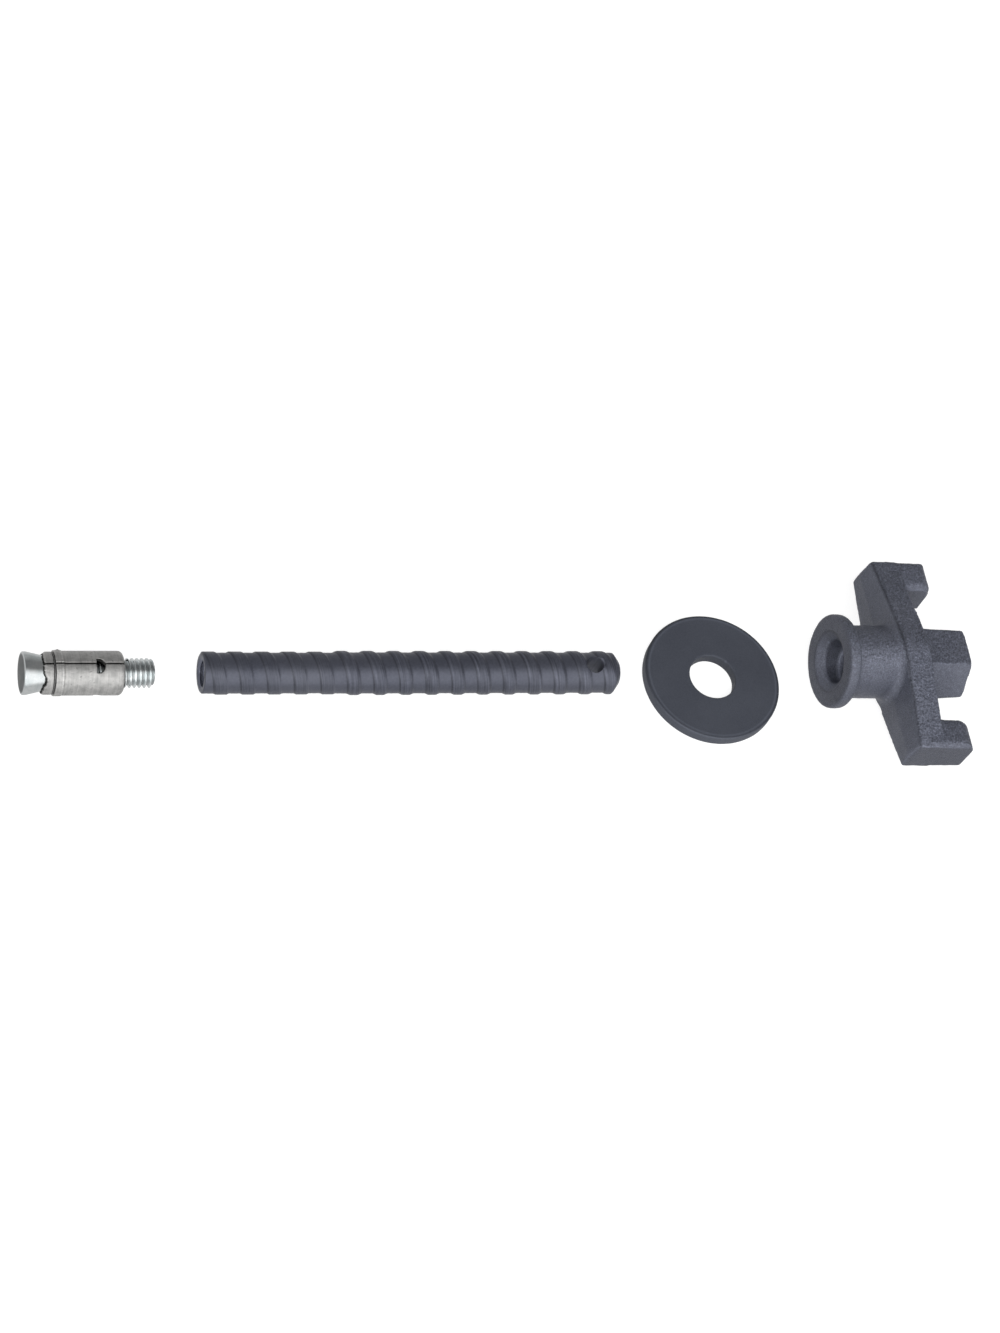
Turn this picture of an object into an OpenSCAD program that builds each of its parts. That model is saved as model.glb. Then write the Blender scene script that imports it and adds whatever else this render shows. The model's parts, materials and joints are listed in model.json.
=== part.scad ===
// Expansion anchor kit for a stand or machine base, taken apart and laid in a row:
// a cone bolt in its three-part shield, a coarse-threaded rod, a plain washer and a wing nut.
// Millimetres. X runs along the row, Y across it, Z up from the surface that the pieces lie on.
// Each piece is drawn along its own axis, from its left end, and then laid in its place.

/* [Cone bolt] */
// Thread diameter of the stud that screws into the rod
stud_d = 12; // [11.9:0.1:14]
// Diameter of the bolt's thread inside the shield, turned down to run free
shank_d = 11.6; // [10:0.1:11.6]
// Length of the cone bolt from its domed head to the end of the stud
bolt_len = 53.2; // [48:0.2:70]
// Diameter of the cone's large end
cone_d = 17.3; // [16.5:0.1:17.8]
// Height of the dome on the cone's head
dome_h = 0.4; // [0.2:0.1:1]
// Straight land between the dome and the taper
cone_land = 1.5; // [0.5:0.1:2]
// Half angle of the taper, in degrees
cone_angle = 13; // [12.5:0.5:14.5]
// Chamfer at the stud's end
stud_chamfer = 1.1; // [0.5:0.1:2]
// How far the cone can be drawn into the shield
cone_travel = 3; // [1:0.5:3]

/* [Shield] */
// Outer diameter of the shield's body
body_d = 17.8; // [17.4:0.1:18.6]
// Outer diameter of the shield's nose, in front of the spring ring
nose_d = 17.1; // [16.8:0.1:17.3]
// Length of the shield
shield_len = 33.4; // [30:0.2:36]
// Distance from the dome's top to the shield's nose
nose_offset = 8; // [7:0.1:8.6]
// Length of the nose, up to the spring ring's groove
nose_len = 4; // [3.6:0.1:4.4]
// Length of the raised band behind the groove
band_len = 3.2; // [2:0.1:4]
// How far the band stands proud of the body
band_h = 0.25; // [0.1:0.05:0.5]
// Rounding of the nose's front edge
nose_round = 1.2; // [0.5:0.1:1.4]
// Rounding of the shield's rear edge
rear_round = 2; // [1:0.1:2.4]
// Width of the slits between the three segments
slit_w = 0.7; // [0.4:0.1:1.2]
// Turn of the first slit from straight up, towards the front of the row, in degrees
slit_turn = 3; // [0:1:20]
// Radius of the half-round windows across the slits
window_r = 3.15; // [2.5:0.05:3.6]
// Distance from the nose to the flat side of the windows
window_offset = 21; // [20:0.1:24]
// Depth of a window, along the shield
window_len = 3.8; // [3.2:0.1:5]
// Turn of the windows' middles from the slits that they cross, in degrees
window_turn = 6; // [0:1:12]
// Running clearance inside the shield
play = 0.15; // [0.1:0.05:0.2]

/* [Spring ring] */
// Wire diameter of the spring ring
wire_d = 0.6; // [0.5:0.05:0.7]
// How deep the wire lies under the nose's surface
wire_sink = 0.05; // [0.02:0.01:0.1]
// Opening between the ring's two ends, in degrees
ring_gap = 16; // [8:1:30]

/* [Threaded rod] */
// Length of the rod
rod_len = 177.8; // [140:0.2:220]
// Core diameter between the ribs
core_d = 16.5; // [16:0.1:17]
// Diameter over the ribs
rib_d = 18.1; // [17.8:0.1:18.6]
// Diameter over the ribs of the turned-down part
turned_d = 17.4; // [17:0.1:17.7]
// Length of the turned-down part
turned_len = 55.4; // [40:0.2:70]
// Pitch of the ribs, one start, right-handed
rib_pitch = 11.1; // [10:0.1:12]
// Width of a rib at its top
rib_w = 4.4; // [3.6:0.1:5]
// Width that each flank adds at the foot of a rib
flank_w = 0.6; // [0.3:0.1:1]
// Distance from the socket end to the middle of the rib's start, less than 0 where the rib runs out of the end
rib_start = -3.2; // [-6:0.1:8]
// Angle at which the first rib starts, in degrees
rib_start_turn = 288; // [0:1:359]
// Length of the chamfer at the free end
tip_chamfer = 3; // [2:0.1:4]
// Diameter of the free end's flat
tip_d = 10.5; // [9:0.5:13]
// Chamfer at the socket end
socket_edge = 0.9; // [0.5:0.1:1.5]
// Tapping diameter of the socket for the stud
socket_d = 10.2; // [9:0.1:10.5]
// Depth of the socket's tapped wall
socket_depth = 28; // [20:1:36]
// Diameter of the cross hole
cross_d = 7.5; // [5:0.5:8]
// Distance from the free end to the cross hole
cross_offset = 12; // [10:0.1:16]
// Lean of the cross hole from upright, towards the front of the row, in degrees
cross_turn = 4; // [0:1:30]

/* [Washer] */
// Outer diameter of the washer
washer_d = 60; // [50:1:70]
// Diameter of its hole
washer_hole_d = 20.4; // [19:0.1:22]
// Thickness of the washer
washer_t = 5.3; // [3:0.1:6]
// Rounding of its outer edges
washer_round = 0.9; // [0.4:0.1:1.2]
// Chamfer of its hole
washer_chamfer = 0.4; // [0.2:0.1:0.6]

/* [Wing nut] */
// Length of the nut along its axis
nut_len = 60.7; // [58:0.2:70]
// Diameter of the flange
flange_d = 40; // [38:0.2:44]
// Thickness of the flange
flange_t = 5.4; // [4:0.1:6]
// Rounding of the flange's edges
flange_round = 1.5; // [0.8:0.1:1.9]
// Diameter of the neck behind the flange
neck_d = 31; // [29:0.2:32]
// Fillet between the flange and the neck
neck_fillet = 2.2; // [1:0.1:2.5]
// Diameter of the bore through the nut, over the roots of its coarse thread
bore_d = 18.5; // [18.3:0.1:19]
// Mouth diameter of the conical lead-in
mouth_d = 26; // [22:0.5:28]
// Depth of the conical lead-in
mouth_depth = 3; // [2:0.2:5]
// Distance from the flange's face to the front of the wings
wing_offset = 27.3; // [25:0.1:31]
// Lean of the wings' front faces away from their middle line, in degrees
wing_draft = 6; // [0:0.5:8]
// Thickness of the wings in their middle, along the nut's axis
wing_t = 12.9; // [11:0.1:15]
// Span over both wings
wing_span = 91.5; // [80:0.5:100]
// Height of the wings over the hub
hub_h = 34.5; // [32.5:0.1:36]
// Height of the wings at their tips
tip_h = 16.8; // [14:0.2:18]
// Rounding of the ridge over the hub
ridge_r = 20; // [12:1:30]
// Fillet from the neck to the wings
wing_fillet = 3.5; // [2:0.5:6]
// Rounding of the wings' outer corners
wing_round = 2.5; // [1:0.5:3.5]
// Width of the lugs behind the wing tips
lug_w = 11.2; // [9:0.2:13]
// Length of the lugs behind the wings
lug_len = 16.2; // [12:0.1:17]
// Height of the lugs
lug_h = 18.6; // [16:0.2:20]
// Chamfer along the lugs' outer edges
lug_chamfer = 1.8; // [0.5:0.1:2.5]
// Lean of the lugs' rear faces, in degrees
lug_lean = 4; // [0:0.5:6]
// Rounding of the lugs' upper rear edges
lug_round = 6.5; // [2:0.5:7]
// Rounding of the notches' inner corners
notch_r = 3; // [1:0.5:4]
// Distance across the flats of the hexagon
hex_af = 28.5; // [28:0.5:30]
// Chamfer of the hexagon's rear corners
hex_chamfer = 1.2; // [0.5:0.1:1.8]

/* [Row] */
// Gap between the stud and the rod
gap_bolt_rod = 19.7; // [12:0.1:40]
// Gap between the rod and the washer
gap_rod_washer = 14.9; // [8:0.1:40]
// Gap between the washer and the wing nut's flange
gap_washer_nut = 17.5; // [10:0.1:40]
// How far the washer lies behind the line of the rod
washer_shift = 0.2; // [0:0.1:3]
// Turn of the wing nut about the upright, its rear end swinging away from the front, in degrees
nut_turn = 1.2; // [0:0.1:3]

/* [Hidden] */
$fn = 96;
eps = 0.01;
steel = [0.78, 0.80, 0.82];
zinc = [0.66, 0.66, 0.65];
wire_grey = [0.35, 0.35, 0.36];
dark_paint = [0.27, 0.28, 0.32];

stud_r = stud_d / 2;
shank_r = shank_d / 2;
cone_r = cone_d / 2;
body_r = body_d / 2;
nose_r = nose_d / 2;
band_r = body_r + band_h;
bore_r = stud_r + play;
dome_r = (pow(cone_r, 2) + pow(dome_h, 2)) / (2 * dome_h);
taper_start = dome_h + cone_land;
taper_len = (cone_r - shank_r) / tan(cone_angle);
shield_end = nose_offset + shield_len;

// The segments rock on their rear inner edges as the cone is drawn in
hinge_arm = shield_len - nose_len / 2;
segment_open = atan(cone_travel * tan(cone_angle) / hinge_arm);
ring_r = nose_r - wire_sink - wire_d / 2;
groove_w = wire_d + 2 * wire_sink + 0.1;
ring_offset = nose_len + groove_w / 2;
groove_r = ring_r - wire_d / 2 - (shield_len - ring_offset) * sin(segment_open) - play / 2;

core_r = core_d / 2;
rib_r = rib_d / 2;
rib_steps = 24;
rib_turns = (rod_len - rib_start) / rib_pitch;

// The nut rests on its flange's rim and on the hub's ridge, so its axis dips to the rear
wing_end = wing_offset + wing_t;
lug_end = wing_end + lug_len;
nut_tilt = atan((flange_d - hub_h) / 2 / (wing_end - flange_t + flange_round));
nut_drop = flange_d / 2 * cos(nut_tilt) + (flange_t - flange_round) * sin(nut_tilt);
nut_reach = nut_len * cos(nut_tilt) + hex_af / 2 * sin(nut_tilt) + hex_af / 2 * tan(30) * sin(nut_turn);
span_r = wing_span / 2;
nut_middle = wing_offset + (wing_t + lug_len) / 2;
hex_r = hex_af / 2 / cos(30);
hex_start = wing_offset + wing_t / 2;
ridge_half = ridge_r * (hub_h - tip_h) / wing_span;
roof_peak = hub_h / 2 - ridge_r + sqrt(pow(ridge_r, 2) - pow(ridge_half, 2));

row_len = bolt_len + gap_bolt_rod + rod_len + gap_rod_washer + washer_d + gap_washer_nut + nut_reach;
bolt_x = -row_len / 2;
rod_x = bolt_x + bolt_len + gap_bolt_rod;
washer_x = rod_x + rod_len + gap_rod_washer + washer_d / 2;
nut_x = washer_x + washer_d / 2 + gap_washer_nut;
nut_shift = 0;

// Lays a piece that is drawn along Z on its side, at a station and an axis height
module lay(x, axis_z) {
    translate([x, 0, axis_z]) rotate([0, 90, 0]) children();
}

// Turns the drawn +X direction to an angle from straight up, towards the front of the row
module from_top(turn) {
    rotate([0, 0, turn + 180]) children();
}

// Outline of the head's taper, from a given start, wider all over by a clearance
module taper_profile(start, grow) {
    polygon([[0, start], [cone_r + grow, start], [cone_r + grow, taper_start],
        [shank_r + grow, taper_start + taper_len], [shank_r + grow, taper_start + taper_len + 1],
        [0, taper_start + taper_len + 1]]);
}

module cone_bolt() {
    color(steel) lay(bolt_x, band_r) {
        rotate_extrude() intersection() {
            translate([0, dome_r]) circle(dome_r);
            square([cone_r, dome_h]);
        }
        rotate_extrude() taper_profile(dome_h, 0);
        translate([0, 0, taper_start + taper_len])
            cylinder(h = shield_end - taper_start - taper_len, d = shank_d);
        translate([0, 0, shield_end])
            cylinder(h = bolt_len - stud_chamfer - shield_end, d = stud_d);
        translate([0, 0, bolt_len - stud_chamfer])
            cylinder(h = stud_chamfer, r1 = stud_r, r2 = stud_r - stud_chamfer);
    }
}

// Outline of the shield: nose, groove, band and body, measured from the nose
module shield_profile() {
    difference() {
        union() {
            translate([0, nose_round]) square([nose_r, nose_len + groove_w - nose_round]);
            square([nose_r - nose_round, nose_round + eps]);
            translate([nose_r - nose_round, nose_round]) circle(nose_round);
            translate([0, nose_len + groove_w]) square([band_r, band_len]);
            translate([0, nose_len + groove_w])
                square([body_r, shield_len - rear_round - nose_len - groove_w]);
            translate([0, shield_len - rear_round - eps]) square([body_r - rear_round, rear_round + eps]);
            translate([body_r - rear_round, shield_len - rear_round]) circle(rear_round);
        }
        translate([groove_r, nose_len]) square([band_r, groove_w]);
        translate([-band_r, -eps]) square([band_r + bore_r, shield_len + 2 * eps]);
    }
}

// Room for the cone, from the dome's top
module cone_room() {
    translate([0, 0, -nose_offset]) rotate_extrude() taper_profile(-cone_travel, play);
}

module window() {
    rotate([0, 90, 0]) intersection() {
        translate([-window_offset - window_len + window_r, 0, 0]) cylinder(h = 2 * body_r, r = window_r);
        translate([-window_offset - window_len, -window_r, -eps])
            cube([window_len, 2 * window_r, 2 * body_r]);
    }
}

// One of the three segments, with its middle turned to the given angle
module segment(turn) {
    apex = slit_w / 2 / sin(60);
    reach = 4 * body_r;
    color(zinc) lay(bolt_x + nose_offset, band_r) from_top(turn) difference() {
        intersection() {
            rotate_extrude() shield_profile();
            translate([apex, 0, -eps]) linear_extrude(shield_len + 2 * eps)
                polygon([[0, 0], [reach * cos(60), reach * sin(60)], [reach * cos(60), -reach * sin(60)]]);
        }
        cone_room();
        translate([bore_r, 0, shield_len]) rotate([0, segment_open, 0])
            translate([-bore_r, 0, -shield_len + cone_travel]) cone_room();
        for (side = [-60, 60]) rotate([0, 0, side + window_turn]) window();
    }
}

module segment_1() { segment(slit_turn + 60); }
module segment_2() { segment(slit_turn + 180); }
module segment_3() { segment(slit_turn + 300); }

module spring_ring() {
    color(wire_grey) lay(bolt_x + nose_offset + ring_offset, band_r) from_top(slit_turn + 120 + ring_gap / 2)
        rotate_extrude(angle = 360 - ring_gap) translate([ring_r, 0]) circle(wire_d / 2, $fn = 24);
}

// Corners of the rib's section at one step of its helix, wider than the rod's outline
function rib_section(i) =
    let (turn = i * 360 / rib_steps, z = i * rib_pitch / rib_steps,
        slope = flank_w / (rib_r - core_r), low = core_r - 0.5, high = rib_r + 0.5,
        half_low = rib_w / 2 + (rib_r - low) * slope, half_high = rib_w / 2 - (high - rib_r) * slope)
    [for (p = [[low, -half_low], [high, -half_high], [high, half_high], [low, half_low]])
        [p[0] * cos(turn), p[0] * sin(turn), z + p[1]]];

module helical_rib(turns) {
    last = ceil(turns * rib_steps);
    points = [for (i = [0:last]) each rib_section(i)];
    sides = [for (i = [0:last - 1], k = [0:3])
        let (a = 4 * i + k, b = 4 * i + (k + 1) % 4, c = b + 4, d = a + 4) each [[a, b, c], [a, c, d]]];
    polyhedron(points, concat([[3, 2, 1, 0]], sides, [[for (k = [0:3]) 4 * last + k]]));
}

// What the turning leaves of the rolled bar: socket end, turned part, full part and tip
module rod_outline() {
    rotate_extrude() polygon([[0, 0], [turned_d / 2 - socket_edge, 0], [turned_d / 2, socket_edge],
        [turned_d / 2, turned_len], [rib_r, turned_len + (rib_d - turned_d) / 2],
        [rib_r, rod_len - tip_chamfer], [tip_d / 2, rod_len], [0, rod_len]]);
}

module threaded_rod() {
    color(dark_paint) lay(rod_x, rib_r) difference() {
        intersection() {
            union() {
                cylinder(h = rod_len, r = core_r);
                translate([0, 0, rib_start]) rotate([0, 0, rib_start_turn]) helical_rib(rib_turns + 0.5);
            }
            rod_outline();
        }
        translate([0, 0, -eps]) cylinder(h = socket_depth + eps, d = socket_d);
        translate([0, 0, -eps]) cylinder(h = (stud_d - socket_d) / 2 + eps, d1 = stud_d + 2 * eps, d2 = socket_d);
        translate([0, 0, socket_depth - eps]) cylinder(h = socket_d / 2 / tan(59), d1 = socket_d, d2 = 0);
        translate([0, 0, rod_len - cross_offset]) from_top(cross_turn) rotate([0, 90, 0])
            cylinder(h = 2 * rib_d, d = cross_d, center = true);
    }
}

module washer() {
    color(dark_paint) translate([washer_x, washer_shift, 0]) rotate_extrude() difference() {
        union() {
            translate([0, washer_round]) square([washer_d / 2, washer_t - 2 * washer_round]);
            square([washer_d / 2 - washer_round, washer_t]);
            for (z = [washer_round, washer_t - washer_round])
                translate([washer_d / 2 - washer_round, z]) circle(washer_round);
        }
        translate([-eps, -eps]) square([washer_hole_d / 2 + eps, washer_t + 2 * eps]);
        for (z = [0, washer_t]) translate([washer_hole_d / 2, z]) rotate(45)
            square(washer_chamfer * sqrt(2), center = true);
    }
}

// Flange and neck, measured from the flange's face
module nut_profile() {
    square([flange_d / 2 - flange_round, flange_t]);
    translate([0, flange_round]) square([flange_d / 2, flange_t - 2 * flange_round]);
    for (z = [flange_round, flange_t - flange_round])
        translate([flange_d / 2 - flange_round, z]) circle(flange_round);
    square([neck_d / 2, wing_end]);
    difference() {
        translate([0, flange_t - eps]) square([neck_d / 2 + neck_fillet, neck_fillet + eps]);
        translate([neck_d / 2 + neck_fillet, flange_t + neck_fillet]) circle(neck_fillet);
    }
}

// One wing and its lug seen along the nut's upright axis: x along the nut, y along the span
module wing_plan() {
    difference() {
        translate([wing_offset - eps, -eps]) square([wing_t + lug_len + 2, span_r + eps]);
        translate([wing_end, -2 * eps]) square([2 * lug_len, span_r - lug_w - notch_r + 2 * eps]);
        translate([wing_end + notch_r, -2 * eps]) square([2 * lug_len, span_r - lug_w + 2 * eps]);
        translate([wing_end + notch_r, span_r - lug_w - notch_r]) circle(notch_r);
        corner_cut(wing_offset, 1);
        corner_cut(lug_end, -1);
    }
}

// Rounds one outer corner of a wing
module corner_cut(x, side) {
    translate([x + side * wing_round, span_r - wing_round]) difference() {
        translate([side > 0 ? -2 * wing_round : 0, 0]) square(2 * wing_round);
        circle(wing_round);
    }
}

// Wing and lug seen along the span: x along the nut, y up
module wing_side() {
    lean = hub_h * tan(wing_draft);
    polygon([[wing_offset, 0], [wing_offset + lean, hub_h], [wing_end, hub_h], [wing_end, -hub_h],
        [wing_offset + lean, -hub_h]]);
}

module lug_side() {
    back = lug_end - wing_end;
    translate([wing_end - eps, 0]) difference() {
        polygon([[-wing_t / 2, lug_h / 2], [back - lug_h / 2 * tan(lug_lean), lug_h / 2],
            [back + lug_h / 2 * tan(lug_lean), -lug_h / 2], [-wing_t / 2, -lug_h / 2]]);
        translate([back - lug_round - lug_h / 2 * tan(lug_lean), lug_h / 2 - lug_round]) difference() {
            square(2 * lug_round);
            circle(lug_round);
        }
    }
}

// Section through the wings across the nut's axis: a low roof on both sides, rounded over the hub
module roof_section() {
    for (side = [-1, 1]) scale([1, side]) {
        polygon([[-span_r, -eps], [-span_r, tip_h / 2], [-ridge_half, roof_peak],
            [ridge_half, roof_peak], [span_r, tip_h / 2], [span_r, -eps]]);
        intersection() {
            translate([0, hub_h / 2 - ridge_r]) circle(ridge_r);
            translate([-ridge_half, roof_peak - ridge_r / 2]) square([2 * ridge_half, ridge_r]);
        }
    }
}

// Section through a lug across the nut's axis
module lug_section() {
    inner = span_r - lug_w - notch_r;
    half = lug_h / 2;
    polygon([[inner, half], [span_r - lug_chamfer, half], [span_r, half - lug_chamfer],
        [span_r, lug_chamfer - half], [span_r - lug_chamfer, -half], [inner, -half]]);
}

// Turns an outline seen along the upright into the nut's own frame, where the upright is -X
module upright(height) {
    rotate([0, -90, 0]) translate([0, 0, -height / 2]) linear_extrude(height) children();
}

// Turns an outline seen along the span, x along the nut and y up, into the nut's own frame
module sideways(width) {
    multmatrix([[0, -1, 0, 0], [0, 0, 1, -width / 2], [1, 0, 0, 0]]) linear_extrude(width) children();
}

module wings() {
    for (side = [-1, 1]) scale([1, side, 1]) {
        intersection() {
            upright(2 * hub_h) wing_plan();
            sideways(2 * wing_span) wing_side();
            linear_extrude(nut_len) rotate(90) roof_section();
        }
        intersection() {
            upright(2 * hub_h) wing_plan();
            sideways(2 * wing_span) lug_side();
            linear_extrude(2 * nut_len) rotate(90) lug_section();
        }
    }
    intersection() {
        rotate_extrude() difference() {
            translate([0, wing_offset - wing_fillet]) square([neck_d / 2 + wing_fillet, wing_fillet + wing_t / 2]);
            translate([neck_d / 2 + wing_fillet, wing_offset - wing_fillet]) circle(wing_fillet);
        }
        linear_extrude(nut_len) rotate(90) roof_section();
    }
}

// Lays the nut on its flange's rim and its ridge, turned about the middle of its wings
module nut_place() {
    translate([nut_x + nut_middle, nut_shift, nut_drop]) rotate([0, 0, nut_turn])
        translate([-nut_middle, 0, 0]) rotate([0, 90 + nut_tilt, 0]) children();
}

module wing_nut() {
    color(dark_paint) nut_place() difference() {
        union() {
            rotate_extrude() nut_profile();
            wings();
            intersection() {
                rotate(90) cylinder(h = nut_len, d = hex_af / cos(30), $fn = 6);
                rotate_extrude() polygon([[0, hex_start], [hex_af, hex_start], [hex_af, nut_len - hex_chamfer
                    - (hex_af - hex_r) * tan(30)], [hex_r - hex_chamfer, nut_len], [0, nut_len]]);
            }
        }
        translate([0, 0, -eps]) cylinder(h = nut_len + 2 * eps, d = bore_d);
        translate([0, 0, -eps]) cylinder(h = mouth_depth + eps, d1 = mouth_d, d2 = bore_d);
    }
}

cone_bolt();
segment_1();
segment_2();
segment_3();
spring_ring();
threaded_rod();
washer();
wing_nut();
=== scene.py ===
import json
import math

import bmesh
import bpy
import numpy as np
from mathutils import Matrix, Vector, noise

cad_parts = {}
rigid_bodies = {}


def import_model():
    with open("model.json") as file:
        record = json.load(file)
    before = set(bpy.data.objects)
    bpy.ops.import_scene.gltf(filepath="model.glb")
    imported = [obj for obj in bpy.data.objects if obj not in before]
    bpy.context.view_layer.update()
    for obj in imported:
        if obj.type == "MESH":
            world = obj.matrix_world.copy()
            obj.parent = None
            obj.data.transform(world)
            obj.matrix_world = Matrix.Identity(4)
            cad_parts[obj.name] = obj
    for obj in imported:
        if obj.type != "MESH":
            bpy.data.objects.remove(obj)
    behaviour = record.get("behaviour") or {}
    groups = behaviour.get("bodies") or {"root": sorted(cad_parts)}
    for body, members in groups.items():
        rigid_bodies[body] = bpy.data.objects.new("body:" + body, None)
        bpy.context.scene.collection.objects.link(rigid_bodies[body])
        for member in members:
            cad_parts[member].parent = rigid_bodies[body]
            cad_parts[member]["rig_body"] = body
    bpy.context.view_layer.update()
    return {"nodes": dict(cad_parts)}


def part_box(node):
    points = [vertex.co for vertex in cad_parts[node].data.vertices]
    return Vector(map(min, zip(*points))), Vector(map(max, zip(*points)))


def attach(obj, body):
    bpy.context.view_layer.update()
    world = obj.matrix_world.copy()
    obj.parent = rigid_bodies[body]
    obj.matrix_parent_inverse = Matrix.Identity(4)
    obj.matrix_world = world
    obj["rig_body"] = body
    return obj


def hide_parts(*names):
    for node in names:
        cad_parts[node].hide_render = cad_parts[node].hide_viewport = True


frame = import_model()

MM = 0.001
nodes = frame["nodes"]
scene = bpy.context.scene


def low(node):
    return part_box(node)[0] / MM


def high(node):
    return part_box(node)[1] / MM


# Sizes that several pieces share, in millimetres and degrees, as in the source
HEAD_R = 8.65
ANCHOR_AXIS = high("cone_bolt").z - HEAD_R
SLIT_TURN = 3
SEGMENT_ANGLE = 120
FINE_PITCH = 2.0
COARSE_PITCH = 11.1
ROD_X = low("threaded_rod").x
ROD_R = 9.05
FLANGE_R = 20
WING_OFFSET = 27.3
WING_T = 12.9
WING_END = WING_OFFSET + WING_T
WING_LEAN = math.tan(math.radians(6))
SPAN_R = 45.75
HUB_H = 34.5
NECK_R = 14.6

# Camera, solved from the photograph and tied to the rod, which lies in the middle of the row
cam_data = bpy.data.cameras.new("camera")
cam_data.sensor_width = 36
cam_data.lens = 90.02
cam_data.clip_start, cam_data.clip_end = 0.01, 50
cam = bpy.data.objects.new("camera", cam_data)
eye = Vector((ROD_X - 311.676, -643.15, 1144.95)) * MM
cam_right = Vector((0.948, -0.1578, 0.27639))
cam_up = Vector((0.00048, 0.86913, 0.49458))
cam_back = -Vector((0.31826, 0.46873, -0.82401))
cam_turn = Matrix((cam_right, cam_up, cam_back)).transposed()
cam.matrix_world = Matrix.Translation(eye) @ cam_turn.to_4x4()
scene.collection.objects.link(cam)
scene.camera = cam


# Mesh tools
def polar(r, angle, z):
    return r * math.cos(angle), r * math.sin(angle), z


def smoothstep(a, b, x):
    t = min(max((x - a) / (b - a), 0.0), 1.0)
    return t * t * (3 - 2 * t)


def arc(cz, cr, radius, start, end, steps):
    """Points (z, r) of an arc about (cz, cr), angles in degrees from +z towards +r."""
    angles = [math.radians(start + (end - start) * k / steps) for k in range(steps + 1)]
    return [(cz + radius * math.cos(a), cr + radius * math.sin(a)) for a in angles]


def thread_form(depth):
    """Share of the pitch to the depth below the crest, for a 60 degree thread with soft corners."""
    crest, root, softness = 0.14, 0.16, 0.04
    flank = (1 - crest - root) / 2

    def form(share):
        d = abs((share + 0.5) % 1.0 - 0.5)
        t = min(max((d - crest / 2) / flank, 0.0), 1.0)
        return depth * (t - softness * math.sin(math.tau * t))
    return form


def laid(x, axis_z, turn=0.0):
    """Lays a piece that is drawn along Z on its side, as the source does."""
    return (Matrix.Translation((x, 0, axis_z)) @ Matrix.Rotation(math.radians(90), 4, "Y")
            @ Matrix.Rotation(math.radians(turn), 4, "Z"))


def closed_mesh(name, points, faces):
    """A mesh from points in metres, with its faces turned outwards."""
    mesh = bpy.data.meshes.new(name)
    mesh.from_pydata(points, [], faces)
    bm = bmesh.new()
    bm.from_mesh(mesh)
    bmesh.ops.recalc_face_normals(bm, faces=bm.faces)
    bm.to_mesh(mesh)
    bm.free()
    return mesh


def bar_mesh(name, rows):
    """A closed bar through rows of points in metres, with as many points in each row."""
    m, last = len(rows[0]), len(rows) - 1
    faces = []
    for i in range(last):
        for k in range(m):
            b = (k + 1) % m
            faces.append((i * m + k, i * m + b, (i + 1) * m + b, (i + 1) * m + k))
    faces += [tuple(reversed(range(m))), tuple(range(last * m, last * m + m))]
    return closed_mesh(name, [point for row in rows for point in row], faces)


def piece(name, mesh, sharp=None):
    """Adds a mesh to the scene, smooth all over or up to edges of so many degrees."""
    for poly in mesh.polygons:
        poly.use_smooth = True
    if sharp is not None:
        mesh.set_sharp_from_angle(angle=math.radians(sharp))
    obj = bpy.data.objects.new(name, mesh)
    scene.collection.objects.link(obj)
    return obj


class Skin:
    """Gathers the points and faces of a turned piece, in millimetres along its own axis.
    Points that coincide are joined."""

    def __init__(self, columns):
        self.points, self.faces, self.seen, self.columns = [], [], {}, columns

    def point(self, p):
        key = tuple(round(c, 4) for c in p)
        if key not in self.seen:
            self.seen[key] = len(self.points)
            self.points.append(p)
        return self.seen[key]

    def face(self, *ids):
        kept = [a for k, a in enumerate(ids) if a != ids[k - 1]]
        if len(kept) > 2 and len(set(kept)) == len(kept):
            self.faces.append(kept)

    def ring(self, z, r):
        n = self.columns
        return [self.point(polar(r, math.tau * i / n, z)) for i in range(n)]

    def bridge(self, a, b):
        for i in range(self.columns):
            self.face(a[i - 1], a[i], b[i], b[i - 1])

    def fan(self, z, ring):
        """Closes a ring with a point on the axis."""
        tip = self.point((0, 0, z))
        for i in range(self.columns):
            self.face(tip, ring[i], ring[i - 1])

    def lathe(self, start, profile):
        """Joins rings along a profile of (z, r) pairs to the ring start, and returns the last."""
        for z, r in profile:
            ring = self.ring(z, r)
            self.bridge(start, ring)
            start = ring
        return start

    def helix(self, z0, z1, pitch, rows, radius, begin=0.0):
        """A threaded stretch from z0 to z1; begin is the z where its thread starts at angle 0.
        radius(share of the pitch, turns since the start, z) gives the radius, and at z0 and z1
        it depends on z alone. Returns the rings at the two ends."""
        n = self.columns
        first = math.floor((z0 - begin) / pitch) - 2
        last = math.ceil((z1 - begin) / pitch) + 2
        total = (last - first) * rows
        grid = []
        for i in range(n):
            line = []
            for k in range(total + 1):
                turns = first + k / rows + i / n
                z = min(max(begin + turns * pitch, z0), z1)
                r = radius((k / rows) % 1.0, first + k // rows + i / n, z)
                line.append(self.point(polar(r, math.tau * i / n, z)))
            grid.append(line)
        for i in range(n):
            for k in range(total):
                if i < n - 1:
                    a, b = grid[i + 1][k], grid[i + 1][k + 1]
                else:
                    a, b = grid[0][min(k + rows, total)], grid[0][min(k + rows + 1, total)]
                self.face(grid[i][k], a, b, grid[i][k + 1])
        return [line[0] for line in grid], [line[total] for line in grid]

    def build(self, name, place, sharp=35):
        points = [tuple(place @ Vector(p) * MM) for p in self.points]
        return piece(name, closed_mesh(name, points, self.faces), sharp)


def baked(obj):
    """Applies an object's modifiers to its mesh."""
    depsgraph = bpy.context.evaluated_depsgraph_get()
    mesh = bpy.data.meshes.new_from_object(obj.evaluated_get(depsgraph))
    obj.modifiers.clear()
    obj.data = mesh


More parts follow.
